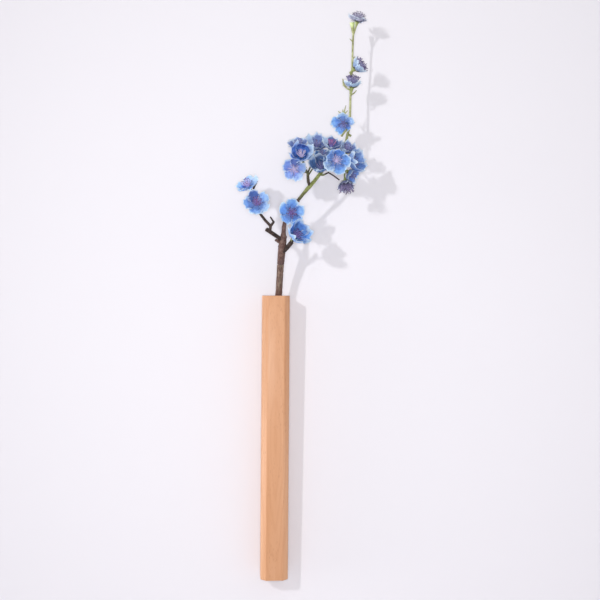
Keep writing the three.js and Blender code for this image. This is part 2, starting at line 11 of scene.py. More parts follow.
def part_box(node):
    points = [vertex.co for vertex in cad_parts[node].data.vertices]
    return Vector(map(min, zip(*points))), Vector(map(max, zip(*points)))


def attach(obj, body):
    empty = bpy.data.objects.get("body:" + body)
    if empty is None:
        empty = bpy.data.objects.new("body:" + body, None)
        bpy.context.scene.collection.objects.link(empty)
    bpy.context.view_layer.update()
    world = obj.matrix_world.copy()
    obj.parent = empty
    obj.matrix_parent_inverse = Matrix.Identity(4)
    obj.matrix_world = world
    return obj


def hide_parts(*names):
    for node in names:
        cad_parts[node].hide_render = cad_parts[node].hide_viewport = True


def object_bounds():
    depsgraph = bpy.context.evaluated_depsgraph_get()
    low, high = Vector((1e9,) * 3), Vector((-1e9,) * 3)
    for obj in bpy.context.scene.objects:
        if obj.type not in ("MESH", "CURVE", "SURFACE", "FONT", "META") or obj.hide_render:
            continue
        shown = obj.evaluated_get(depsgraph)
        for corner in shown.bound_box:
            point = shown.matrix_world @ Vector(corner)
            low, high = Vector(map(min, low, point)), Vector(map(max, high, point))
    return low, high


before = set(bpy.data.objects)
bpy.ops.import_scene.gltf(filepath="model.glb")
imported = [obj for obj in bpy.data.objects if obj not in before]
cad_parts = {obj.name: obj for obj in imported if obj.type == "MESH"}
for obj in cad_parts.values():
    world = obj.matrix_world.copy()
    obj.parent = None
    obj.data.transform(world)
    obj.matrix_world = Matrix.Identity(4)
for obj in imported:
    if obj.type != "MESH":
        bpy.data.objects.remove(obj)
cad_low, cad_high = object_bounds()

MM = 0.001
WELD = 0.002 * MM
FULL_TURN = 2 * math.pi


def linear(code):
    """The shader colour of a six digit sRGB colour code."""
    parts = [int(code[i:i + 2], 16) / 255 for i in (0, 2, 4)]
    return tuple(p / 12.92 if p <= 0.04045 else ((p + 0.055) / 1.055) ** 2.4 for p in parts) + (1.0,)


def smoothstep(low, high, x):
    """A smooth rise from 0 at low to 1 at high."""
    t = np.clip((x - low) / (high - low), 0.0, 1.0)
    return t * t * (3 - 2 * t)


# Node helpers

# In names below, a scale is in repeats per metre along each axis, a band is where a span starts and ends,
# and a relief is a bump's height and strength. The mix node's sockets are those that it has for colours.
MIX_FACTOR = 0
MIX_FIRST = 6
MIX_SECOND = 7
MIX_RESULT = 2
NOISE_STOPS = (0.3, 0.7)


def new_material(name, **sockets):
    """A material with its shader's uniform values set, its node tree and its shader."""
    material = bpy.data.materials.new(name)
    material.use_nodes = True
    shader = material.node_tree.nodes["Principled BSDF"]
    for socket, value in sockets.items():
        shader.inputs[socket.replace("_", " ")].default_value = value
    return material, material.node_tree, shader


def feed(tree, shader, **outputs):
    """Links node outputs to the shader's sockets."""
    for socket, output in outputs.items():
        tree.links.new(output, shader.inputs[socket.replace("_", " ")])


def add(tree, kind, inputs=None, **settings):
    """A new node. An input is either a value or another node's output."""
    node = tree.nodes.new(kind)
    for key, value in settings.items():
        setattr(node, key, value)
    for socket, value in (inputs or {}).items():
        if isinstance(value, bpy.types.NodeSocket):
            tree.links.new(value, node.inputs[socket])
        else:
            node.inputs[socket].default_value = value
    return node


def ramp(tree, fac, stops, codes):
    """A colour ramp with a colour code at each stop."""
    node = add(tree, "ShaderNodeValToRGB", {"Fac": fac})
    elements = node.color_ramp.elements
    while len(elements) < len(stops):
        elements.new(1.0)
    for element, stop, code in zip(elements, stops, codes):
        element.position = stop
        element.color = linear(code)
    return node.outputs["Color"]


def span(tree, fac, low, high, to_low=0.0, to_high=1.0):
    """A value between low and high, mapped to another span and held at its ends."""
    node = add(tree, "ShaderNodeMapRange", {"Value": fac, "From Min": low, "From Max": high,
                                            "To Min": to_low, "To Max": to_high})
    return node.outputs["Result"]


def mix(tree, fac, a, b, blend="MIX"):
    """Two colours mixed by a share of the second."""
    node = add(tree, "ShaderNodeMix", {MIX_FACTOR: fac, MIX_FIRST: a, MIX_SECOND: b}, data_type="RGBA",
               blend_type=blend)
    return node.outputs[MIX_RESULT]


def math_node(tree, operation, a, b=0.0):
    node = add(tree, "ShaderNodeMath", {0: a, 1: b}, operation=operation)
    return node.outputs["Value"]


def plus(tree, a, b):
    return math_node(tree, "ADD", a, b)


def minus(tree, a, b):
    return math_node(tree, "SUBTRACT", a, b)


def times(tree, a, b):
    return math_node(tree, "MULTIPLY", a, b)


def stretched(tree, scale, start=(0, 0, 0)):
    """Object coordinates at a scale, shifted to a start."""
    coords = add(tree, "ShaderNodeTexCoord").outputs["Object"]
    node = add(tree, "ShaderNodeMapping", {"Vector": coords, "Scale": scale, "Location": start})
    return node.outputs["Vector"]


def grain(tree, scale, detail=3.0, roughness=0.55, start=(0, 0, 0)):
    """Noise at a scale."""
    node = add(tree, "ShaderNodeTexNoise", {"Vector": stretched(tree, scale, start), "Scale": 1.0,
                                            "Detail": detail, "Roughness": roughness})
    return node.outputs["Fac"]


def height_above(tree):
    """The object's own Z, in metres."""
    coords = add(tree, "ShaderNodeTexCoord")
    return add(tree, "ShaderNodeSeparateXYZ", {0: coords.outputs["Object"]}).outputs["Z"]


def attribute(tree, name):
    """A value that the mesh holds for each point."""
    return add(tree, "ShaderNodeAttribute", attribute_name=name).outputs["Fac"]


def bump(tree, shader, height, relief):
    distance, strength = relief
    node = add(tree, "ShaderNodeBump", {"Height": height, "Distance": distance, "Strength": strength})
    feed(tree, shader, Normal=node.outputs["Normal"])


# Mesh helpers

FLAT_ANGLE = math.radians(1)
SMOOTH_ANGLE = math.radians(28)
EASE_STEPS = 3


def piece(name, mesh, body, material, stands_for=()):
    """A shown piece of one mesh, which rides on a body and stands for CAD nodes."""
    obj = bpy.data.objects.new(name, mesh)
    bpy.context.scene.collection.objects.link(obj)
    mesh.materials.clear()
    mesh.materials.append(material)
    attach(obj, body)
    if stands_for:
        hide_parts(*stands_for)


def cad_bmesh(node):
    """The welded faces of a CAD node."""
    bm = bmesh.new()
    bm.from_mesh(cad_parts[node].data)
    bmesh.ops.remove_doubles(bm, verts=bm.verts, dist=WELD)
    return bm


def cad_points(node):
    """The welded corners of a CAD node, one row each."""
    bm = cad_bmesh(node)
    points = np.array([vertex.co for vertex in bm.verts], float)
    bm.free()
    return points


def to_mesh(bm, name):
    """A smooth shaded mesh of the faces, which are freed."""
    mesh = bpy.data.meshes.new(name)
    bmesh.ops.recalc_face_normals(bm, faces=bm.faces)
    bm.to_mesh(mesh)
    bm.free()
    mesh.shade_smooth()
    return mesh


def vertex_rows(mesh):
    """The places of a mesh's vertices, one row each."""
    rows = np.empty(3 * len(mesh.vertices), np.float32)
    mesh.vertices.foreach_get("co", rows)
    return rows.reshape(-1, 3).astype(float)


def float_attribute(mesh, name, values):
    """Gives each vertex a value that a material can read."""
    layer = mesh.attributes.get(name) or mesh.attributes.new(name, "FLOAT", "POINT")
    layer.data.foreach_set("value", np.asarray(values, np.float32))


def join_rows(bm, rows):
    """Faces between rows of vertices that lie side by side."""
    for a, b in zip(rows, rows[1:]):
        for j in range(len(a) - 1):
            bm.faces.new((a[j], b[j], b[j + 1], a[j + 1]))


def add_backs(bm):
    """Gives sheets a back at the same place, with points of its own. They have no thickness."""
    bmesh.ops.solidify(bm, geom=bm.faces[:], thickness=0.0)


def join_rings(bm, rings):
    """Faces between closed rings of vertices."""
    for low, high in zip(rings, rings[1:]):
        for k in range(len(low)):
            after = (k + 1) % len(low)
            bm.faces.new((low[k], low[after], high[after], high[k]))


def lathe(bm, profile, sides, centre):
    """Faces turned round the vertical line through centre from (radius, height) points."""
    rings = []
    for radius, height in profile:
        ring = []
        for k in range(sides):
            turn = FULL_TURN * k / sides
            place = (centre[0] + radius * math.cos(turn), centre[1] + radius * math.sin(turn), height)
            ring.append(bm.verts.new(place))
        rings.append(ring)
    join_rings(bm, rings)
    bmesh.ops.remove_doubles(bm, verts=bm.verts, dist=WELD)


def eased(node, width, sharp, picks=None):
    """A copy of a CAD node with its edges rounded where they turn by more than sharp."""
    bm = cad_bmesh(node)
    bmesh.ops.dissolve_limit(bm, angle_limit=FLAT_ANGLE, verts=bm.verts, edges=bm.edges)
    edges = [e for e in bm.edges if len(e.link_faces) == 2 and e.calc_face_angle(0) > sharp]
    if picks:
        edges = [e for e in edges if picks(e)]
    bmesh.ops.bevel(bm, geom=edges, offset=width, segments=EASE_STEPS, profile=0.5, affect="EDGES",
                    clamp_overlap=True)
    mesh = to_mesh(bm, node)
    mesh.set_sharp_from_angle(angle=SMOOTH_ANGLE)
    return mesh


# Beech body

BEECH_PALE = "cfa07e"
BEECH_WARM = "c38e67"
BEECH_DEEP = "b57f58"
BEECH_FLECK = "9e6c47"
BEECH_ROUGHNESS = (0.32, 0.46)
BEECH_RELIEF = (0.08 * MM, 0.5)
TONE_SCALE = (110, 110, 4)
# The broad tone starts where it comes out paler on the left chamfer at the top and darker on the front at
# the top: random grain placed to stand in for light from the upper left, a painted light and shade
PAINTED_LIGHT_TONE_START = (7.1, 2.0, 5.2)
FIBRE_SCALE = (2200, 2200, 45)
FIBRE_BAND = (0.35, 0.75)
FIBRE_SHARE = 0.6
FIGURE_SCALE = (95, 95, 9)
FIGURE_WAVE = {"Scale": 1.0, "Distortion": 5.0, "Detail": 2.0, "Detail Scale": 1.2}
FIGURE_BAND = (0.55, 1.0)
FIGURE_SHARE = 0.22
FLECK_SCALE = (800, 800, 140)
FLECK_BAND = (0.30, 0.14)
FLECK_SHARE = 0.4
FLECK_PATCH_SCALE = (90, 90, 30)
FLECK_PATCH_BAND = (0.4, 0.65)
WOOD_ROUND = 0.6 * MM
WOOD_SHARP = math.radians(20)
LONG_EDGE = 100 * MM
MOUTH_REACH = 11 * MM


def beech():
    material, tree, shader = new_material("beech", Specular_IOR_Level=0.28)
    # Broad tone, placed so that it also serves as painted light and shade on the chamfer and the front
    broad = grain(tree, TONE_SCALE, detail=2, start=PAINTED_LIGHT_TONE_START)
    fibres = grain(tree, FIBRE_SCALE)
    tone = ramp(tree, broad, NOISE_STOPS, (BEECH_WARM, BEECH_PALE))
    figure = add(tree, "ShaderNodeTexWave", {"Vector": stretched(tree, FIGURE_SCALE), **FIGURE_WAVE},
                 wave_type="RINGS", rings_direction="Y").outputs["Fac"]
    tone = mix(tree, times(tree, span(tree, figure, *FIGURE_BAND), FIGURE_SHARE), tone, linear(BEECH_DEEP))
    tone = mix(tree, times(tree, span(tree, fibres, *FIBRE_BAND), FIBRE_SHARE), tone, linear(BEECH_WARM))
    cells = add(tree, "ShaderNodeTexVoronoi", {"Vector": stretched(tree, FLECK_SCALE), "Scale": 1.0})
    spots = span(tree, cells.outputs["Distance"], *FLECK_BAND)
    where = span(tree, grain(tree, FLECK_PATCH_SCALE, detail=2), *FLECK_PATCH_BAND)
    fleck = times(tree, times(tree, spots, where), FLECK_SHARE)
    tone = mix(tree, fleck, tone, linear(BEECH_FLECK))
    feed(tree, shader, Base_Color=tone, Roughness=span(tree, fibres, 0.0, 1.0, *BEECH_ROUGHNESS))
    bump(tree, shader, minus(tree, fibres, fleck), BEECH_RELIEF)
    return material


def is_outline(edge):
    """Whether an edge of the body is a long one or an outer one of an end."""
    low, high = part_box("wood_body")
    middle = (edge.verts[0].co + edge.verts[1].co) / 2
    away = (middle - (low + high) / 2).xy.length
    at_end = middle.z < low.z + WELD or middle.z > high.z - WELD
    return edge.calc_length() > LONG_EDGE or (at_end and away > MOUTH_REACH)


wood = eased("wood_body", WOOD_ROUND, WOOD_SHARP, is_outline)
piece("beech_body", wood, "vase", beech(), ["wood_body"])


# Glass tube

TUBE_SIDES = 96
TUBE_RADIUS = 8.0 * MM
TUBE_WALL = 1.0 * MM
RIM_HEIGHT = 1.8 * MM
ARC_STEP = 9
LIP_STEP = 15
GLASS_TINT = (0.93, 0.97, 0.96, 1.0)
SMEAR_SCALE = (120, 120, 40)
SMEAR_BAND = (0.4, 0.8)
SMEAR_ROUGHNESS = (0.02, 0.14)


def glass():
    material, tree, shader = new_material("glass", Transmission_Weight=1.0, IOR=1.47, Base_Color=GLASS_TINT)
    smears = grain(tree, SMEAR_SCALE, detail=4)
    feed(tree, shader, Roughness=span(tree, smears, *SMEAR_BAND, *SMEAR_ROUGHNESS))
    return material


def tube_mesh():
    """A tube with a domed end and a beaded lip, turned from the outside in."""
    low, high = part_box("water_tube")
    centre = (low + high) / 2
    rim = (high.x - low.x) / 2
    inner = TUBE_RADIUS - TUBE_WALL
    bead = RIM_HEIGHT / 2
    dome = low.z + TUBE_RADIUS
    quarter = [math.radians(a) for a in range(0, 91, ARC_STEP)]
    outer_end = [(TUBE_RADIUS * math.sin(a), dome - TUBE_RADIUS * math.cos(a)) for a in quarter]
    turns = [math.radians(a) for a in range(-90, 181, LIP_STEP)]
    lip = [(max(rim - bead + bead * math.cos(a), inner), high.z - bead + bead * math.sin(a)) for a in turns]
    inner_end = [(inner * math.sin(a), dome - inner * math.cos(a)) for a in reversed(quarter)]
    outside = outer_end + [(TUBE_RADIUS, high.z - RIM_HEIGHT)]
    inside = [(inner, high.z - bead)] + inner_end
    bm = bmesh.new()
    lathe(bm, outside + lip + inside, TUBE_SIDES, centre)
    return to_mesh(bm, "tube")


piece("glass_tube", tube_mesh(), "tube", glass(), ["water_tube"])


# Keyhole plate and its screws

FITTING_ROUND = 0.12 * MM
FITTING_SHARP = math.radians(25)
BRUSH_SCALE = (3000, 3000, 60)
BRUSH_RELIEF = (0.02 * MM, 0.5)
SPANGLE_SCALE = (350, 350, 350)
ZINC_ROUGHNESS = (0.25, 0.5)


def steel(name, dull, bright):
    """Zinc plated steel with its spangle between two colours."""
    material, tree, shader = new_material(name, Metallic=1.0)
    brushed = grain(tree, BRUSH_SCALE, detail=2)
    spangle = grain(tree, SPANGLE_SCALE, detail=2)
    tone = ramp(tree, spangle, NOISE_STOPS, (dull, bright))
    feed(tree, shader, Base_Color=tone, Roughness=span(tree, brushed, 0.0, 1.0, *ZINC_ROUGHNESS))
    bump(tree, shader, brushed, BRUSH_RELIEF)
    return material


white_zinc = steel("white_zinc", "a9abae", "cdd0d3")
yellow_zinc = steel("yellow_zinc", "b09a5c", "d8c48a")
fittings = {"hanger_plate": white_zinc, "hanger_screw_upper": yellow_zinc, "hanger_screw_lower": yellow_zinc}
for node, zinc in fittings.items():
    fitting = eased(node, FITTING_ROUND, FITTING_SHARP)
    piece(node.replace("hanger", "keyhole"), fitting, "vase", zinc, [node])


# Blossoms. Each CAD corolla gives the place, the facing, the reach of each petal and the depth of the cup.

PETALS = 5
PETAL_HOLE = 1.4 * MM
COROLLA_LIFT = 0.3 * MM
CAD_THICKNESS = 0.8 * MM
CUP_POWER = 2.2
HOLE_CORNERS = 40
HOLE_SEARCHES = 4
LOBE_POWER = 3
ASKEW = (0.3, 0.4, 0.87)


class Blossom:
    """Where a blossom sits: its matrix has +Z as its facing and +X through a petal."""

    def __init__(self, name):
        self.name = name
        points = cad_points("petals_" + name)
        # The corners nearest the middle are those round the hole, which lies square to the facing
        centre = points.mean(0)
        for _ in range(HOLE_SEARCHES):
            nearest = np.argsort(np.linalg.norm(points - centre, axis=1))[:HOLE_CORNERS]
            centre = points[nearest].mean(0)
        places = points - centre
        hole = places[nearest]
        facing = np.linalg.eigh(hole.T @ hole)[1][:, 0]
        if (places @ facing).sum() < 0:
            facing = -facing
        # The corners that stand out most are those of the lobes, and their common turn is the phase
        side = np.cross(facing, ASKEW)
        side /= np.linalg.norm(side)
        other = np.cross(facing, side)
        turns = np.arctan2(places @ other, places @ side)
        away = np.hypot(places @ side, places @ other)
        phase = np.angle((np.exp(1j * PETALS * turns) * away ** LOBE_POWER).sum()) / PETALS
        lobe = side * math.cos(phase) + other * math.sin(phase)
        self.matrix = Matrix((lobe, np.cross(facing, lobe), facing)).transposed().to_4x4()
        self.matrix.translation = centre - facing * (CAD_THICKNESS / 2 + COROLLA_LIFT)
        nearest_lobe = np.round((turns - phase) * PETALS / FULL_TURN).astype(int) % PETALS
        self.reaches = [away[nearest_lobe == k].max() for k in range(PETALS)]
        self.radius = max(self.reaches)
        self.cup = (places @ facing).max() - CAD_THICKNESS / 2

    def local(self, points):
        """Rows of points seen from the blossom."""
        inverse = np.array(self.matrix.inverted())
        return points @ inverse[:3, :3].T + inverse[:3, 3]

    def petal_points_to(self, k):
        """The way that a petal points, seen from the front: right and up."""
        turn = FULL_TURN * k / PETALS
        way = self.matrix.to_3x3() @ Vector((math.cos(turn), math.sin(turn), 0))
        return Vector((way.x, way.z))

    def rise(self, out):
        """How far the cup has risen at a distance from its axis."""
        return self.cup * max(0.0, (out - PETAL_HOLE) / (self.radius - PETAL_HOLE)) ** CUP_POWER


# A blossom's dye, its stamens and how far its petals close round into a bowl. Its ways (right, up) are where
# its petals with painted shade (darker cloth), with painted light (paler cloth) and with a curl point. Its
# sepals are a share of its radius long. Its curl is the angle at the tip of its curled petals, forward or,
# below 0, back, and all of them curl where no way is given.
Look = namedtuple("Look", "dye stamens bowl dark_way pale_way sepals curl curl_way",
                  defaults=(None, None, 0.42, 0.0, None))
BLOSSOM_LOOKS = {
    "tip": Look("grey", "fan", 0.3),
    "upper_right": Look("pale", "tuft", 0.4, sepals=0.5, curl=-0.15),
    "upper_front": Look("pale", "tuft", 0.5, pale_way=(1, 0), sepals=0.6, curl=-0.25),
    "upper_left": Look("sky", "faint", 0.0, pale_way=(0.6, 1)),
    "cluster_left": Look("royal", "soft", 1.2, pale_way=(1, -0.3), curl=0.55, curl_way=(-0.2, 1)),
    "cluster_far_left": Look("violet", "faint", 0.8, dark_way=(0, -1)),
    "cluster_low_left": Look("lilac", "soft", 0.1, dark_way=(0, 1)),
    "cluster_back": Look("violet", "faint", 0.8, dark_way=(0.3, -1), pale_way=(-1, 0.4)),
    "cluster_inner": Look("navy", "faint", 0.8),
    "cluster_top": Look("violet", "magenta", 0.8, dark_way=(0, 1), pale_way=(-1, 0.3)),
    "cluster_far_right": Look("violet", "faint", 0.8, dark_way=(0, -1), pale_way=(-1, 0.5)),
    "cluster_front": Look("sky", "soft", 0.1, pale_way=(-1, -0.6), curl=0.7, curl_way=(0, 1)),
    "cluster_middle": Look("navy", "faint", 1.2, dark_way=(0, 1)),
    "cluster_right": Look("slate", "faint", 1.2),
    "cluster_low_right": Look("slate", "faint", 0.6, sepals=0.5),
    "cluster_low": Look("dusk", "spiky", 0.3, sepals=0.6),
    "left_high": Look("sky", "pearl", 0.2, pale_way=(1, 1)),
    "left_low": Look("sky", "dense", 0.2, dark_way=(-0.5, 1), pale_way=(1, -0.3)),
    "middle_high": Look("sky", "dense", 0.1),
    "middle_low": Look("deep", "wide", 1.0, curl=0.25, curl_way=(0.2, 1)),
}
BLOSSOMS = {name: Blossom(name) for name in BLOSSOM_LOOKS}


# Petals: fabric spoons, each on a narrow claw

# Lengths and widths are shares of the petal's reach, and heights are shares of the blossom's radius. A name
# in the plural with two values gives the least and the most that is drawn for a petal.
PETAL_STEPS = 20
PETAL_SHARES = [2 * i / PETAL_STEPS - 1 for i in range(PETAL_STEPS + 1)]
PETAL_SWAY = 0.05
BLADE_CENTRE = 0.58
BLADE_BAND = (-0.9, -0.1)
TIP_REACHES = (0.95, 1.06)
HALF_WIDTHS = (0.42, 0.48)
CLAW_NARROWING = 0.55
CLAW_BAND = (-0.2, -1)
CLAW_START = 0.8 * PETAL_HOLE
TILTS = (0.10, 0.2)
SPOONS = (0.08, 0.2)
BOWL_WIDTH = 0.19
BOWL_LIFT = 0.1
SQUARENESS = 0.12
ROLLS = (-0.02, 0.16)
ROLL_BAND = (0.8, 1)
RUFFLES = (0.035, 0.09)
RUFFLE_WAVES = (4, 5, 6)
HEARTS = (0.0, 0.16)
HEART_WIDTH = 0.25
HEART_BAND = (0.7, 1)
DENT = 0.14
DENT_BAND = (0.1, 0.7)
BROAD_DENTS = 1.7
FINE_DENTS = 4.1
FINE_DENT_SHARE = 0.5
RAGGED = 0.26
RAGGED_WAVES = 2.5
MIDRIB = 0.025
MIDRIB_WIDTH = 0.1
PLEAT = 0.006
PLEAT_WAVES = 20
SEEDS = 50
FINE_SEED = 5
RAGGED_SEED = 9


def petal_noise(x, y, waves, seed):
    return noise.noise(Vector((waves * x, waves * y, seed)))


def dents(x, y, seed):
    """Soft dents of a heat-formed petal, from about -1 to 1."""
    broad = petal_noise(x, y, BROAD_DENTS, seed)
    return broad + FINE_DENT_SHARE * petal_noise(x, y, FINE_DENTS, seed + FINE_SEED)


class Petal:
    """A petal that points along +X, with measures drawn for it alone."""

    def __init__(self, blossom, reach, bowl, rng):
        self.blossom = blossom
        self.bowl = bowl
        self.roundness = 1 - SQUARENESS * bowl
        self.blade = reach * BLADE_CENTRE
        self.claw = self.blade - CLAW_START
        self.tip = reach * rng.uniform(*TIP_REACHES) - self.blade
        self.wide = reach * (rng.uniform(*HALF_WIDTHS) + BOWL_WIDTH * bowl)
        self.tilt = rng.uniform(*TILTS)
        self.spoon = rng.uniform(*SPOONS)
        self.roll = rng.uniform(*ROLLS)
        self.ruffle = rng.uniform(*RUFFLES)
        self.waves = rng.choice(RUFFLE_WAVES)
        self.start = rng.uniform(0, FULL_TURN)
        self.seed = rng.uniform(0, SEEDS)
        self.heart = rng.uniform(*HEARTS)

    def height(self, x, y, edge, out, over):
        """How high the petal is at a point: its cup, tilt and spoon, then the finer forms."""
        radius = self.blossom.radius
        on_blade = smoothstep(*BLADE_BAND, x)
        z = COROLLA_LIFT + CAD_THICKNESS / 2 + self.blossom.rise(math.hypot(out, over)) + self.tilt * over
        z += radius * self.spoon * (edge ** 2 - 0.5) * on_blade
        z += radius * BOWL_LIFT * self.bowl * smoothstep(0.0, 1.0, x)
        z -= radius * self.roll * smoothstep(*ROLL_BAND, edge) * on_blade
        z += radius * self.ruffle * edge ** 4 * math.sin(self.waves * math.atan2(y, x) + self.start)
        z += radius * DENT * dents(x, y, self.seed) * smoothstep(*DENT_BAND, edge) * on_blade
        z -= radius * MIDRIB * math.exp(-(y / MIDRIB_WIDTH) ** 2) * math.sin(math.pi * (x + 1) / 2)
        z += radius * PLEAT * math.sin(PLEAT_WAVES * y + self.start) * on_blade
        return z

    def point(self, u, v):
        """The place at u along and v across, each from -1 to 1, with its edge share and across share."""
        edge = math.sqrt(u * u + v * v - u * u * v * v)
        x = u * math.sqrt(1 - self.roundness * v * v / 2)
        y = v * math.sqrt(1 - self.roundness * u * u / 2)
        ragged = RAGGED * edge ** 3 * petal_noise(x, y, RAGGED_WAVES, self.seed + RAGGED_SEED)
        notch = self.heart * math.exp(-(y / HEART_WIDTH) ** 2) * smoothstep(*HEART_BAND, x) - ragged
        out = self.blade + (self.tip * (x - notch) if x > 0 else self.claw * x)
        over = self.wide * y * (1 + ragged) * (1 - CLAW_NARROWING * smoothstep(*CLAW_BAND, x))
        return Vector((out, over, self.height(x, y, edge, out, over))), edge, y


# How strongly petals that point the painted shade or the painted light way get it, and how much darker or
# paler any petal may be at random, as tone of its own
WAY_BAND = (0.15, 0.85)
PAINTED_WAY_SHARE = 0.85
MOST_DARK = 0.25
MOST_PALE = 0.3


def towards(blossom, k, way):
    """How far a petal points a given way, from 0 to 1."""
    if way is None:
        return 0.0
    return float(smoothstep(*WAY_BAND, blossom.petal_points_to(k).dot(Vector(way).normalized())))


def curled(place, reach, angle):
    """A point of a petal that is bent evenly along its length, up to an angle at its tip."""
    if angle == 0:
        return place
    bend = angle / reach
    turn = bend * place.x
    out = math.sin(turn) * (1 / bend - place.z)
    return Vector((out, place.y, place.z * math.cos(turn) + (1 - math.cos(turn)) / bend))


def corolla_mesh(blossom, look):
    """The five petals of a blossom, with the values that colour its cloth."""
    rng = random.Random("petals " + blossom.name)
    bm = bmesh.new()
    layers = [bm.verts.layers.float.new(key) for key in ("edge", "across", "dark", "pale")]
    for k, reach in enumerate(blossom.reaches):
        turn = Matrix.Rotation(FULL_TURN * k / PETALS + rng.uniform(-PETAL_SWAY, PETAL_SWAY), 3, "Z")
        # Darker cloth on petals that point the painted shade way is painted shade; the random part is the
        # petal's own tone
        dark = PAINTED_WAY_SHARE * towards(blossom, k, look.dark_way) + rng.uniform(0.0, MOST_DARK)
        # Paler cloth on petals that point the painted light way is painted light; the random part is the
        # petal's own tone
        pale = PAINTED_WAY_SHARE * towards(blossom, k, look.pale_way) + rng.uniform(0.0, MOST_PALE)
        bent = look.curl * towards(blossom, k, look.curl_way) if look.curl_way else look.curl
        petal = Petal(blossom, reach, look.bowl, rng)
        rows = []
        for u in PETAL_SHARES:
            row = []
            for v in PETAL_SHARES:
                place, edge, across = petal.point(u, v)
                vertex = bm.verts.new(turn @ curled(place, reach, bent))
                for layer, value in zip(layers, (edge, across, dark, pale)):
                    vertex[layer] = value
                row.append(vertex)
            rows.append(row)
        join_rows(bm, rows)
    add_backs(bm)
    mesh = to_mesh(bm, "corolla_" + blossom.name)
    places = vertex_rows(mesh)
    float_attribute(mesh, "reach", np.hypot(places[:, 0], places[:, 1]) / blossom.radius)
    float_attribute(mesh, "outside", [vertex.normal.z < 0 for vertex in mesh.vertices])
    mesh.transform(blossom.matrix)
    return mesh


# The colours of each dye from the middle of a blossom to its rim, and its colour outside. The dark stops
# round the middle are partly the cloth's own gradient and partly painted shade in the cup round the stamens,
# and the palest stops at the rim partly a painted highlight. The deep, royal and navy dyes, for cups whose
# insides lie in shade, are darker still with painted shade.
DYE_STOPS = (0.16, 0.36, 0.52, 0.76, 1.0)
DYES = {
    "sky": (("8c78c4", "3e60bc", "74acfa", "acdaff", "def4ff"), "94c4f8"),
    "lilac": (("d0c0e8", "94a6ee", "b0c8fe", "c4deff", "e4f4ff"), "a8c4f4"),
    "deep": (("201c66", "223a96", "4c7cd8", "96caff", "d4f0ff"), "7cb4f0"),
    "royal": (("1a1c5c", "20348c", "3058b4", "74b0f4", "c8ecff"), "5c98ec"),
    "pale": (("8a7cc4", "84a2e0", "a8c4ec", "c4dcf4", "e4f2fa"), "acc2de"),
    "violet": (("4a386c", "4c5494", "7482bc", "9caad8", "d4e0f4"), "748cc4"),
    "navy": (("141a48", "1e3070", "345298", "6490cc", "bce0fa"), "6c9ad0"),
    "slate": (("2c3a80", "4058a4", "6484c8", "92b4ea", "d4e8fa"), "7098d8"),
    "grey": (("6e6688", "908aa8", "b0acc4", "c8c6d6", "dcdce8"), "b6b2c4"),
    "dusk": (("4c4468", "68648c", "8884a8", "a0a0bc", "c0c4d4"), "7c80a4"),
}
OUTSIDE_SHARE = 0.7
# Petals are darkened by a multiplied colour and a shift along the dye: painted shade on those that point the
# painted shade way, plus a random darker tone of their own
PAINTED_SHADE_AND_TONE_CLOTH = "6c8cc4"
PAINTED_SHADE_AND_TONE_SHARE = 0.7
PAINTED_SHADE_AND_TONE_SHIFT = 0.38
# Painted shade: deep blue along the sides of each petal near its base, where petals meet and overlap
PAINTED_CREASE_SHADE = "2c4aa4"
PAINTED_CREASE_SHADE_SHARE = 0.75
PAINTED_CREASE_SHADE_SIDES = (0.4, 0.9)
PAINTED_CREASE_SHADE_REACH = (0.8, 0.45)
# Petals that point the lit way are painted paler across the blade: painted light, with a random paler tone
# of their own
PAINTED_LIGHT_AND_TONE_CLOTH = "dcefff"
PAINTED_LIGHT_AND_TONE_SHARE = 0.75
# A pale edge on every petal: partly the cloth's own paler edge and partly a painted highlight
RIM_DYE_AND_HIGHLIGHT = "ecf8ff"
RIM_SHARE = 0.8
RIM_BAND = (0.76, 0.97)
BLADE_REACH = (0.3, 0.7)
CLOUD_SCALE = (330, 330, 330)
CLOUD_DRIFT = 1.3
VEIN_WAVES = 45.0
VEIN_SHARE = 0.25
WEAVE_SCALE = (3500, 3500, 3500)
CLOTH_RELIEF = (0.06 * MM, 0.7)


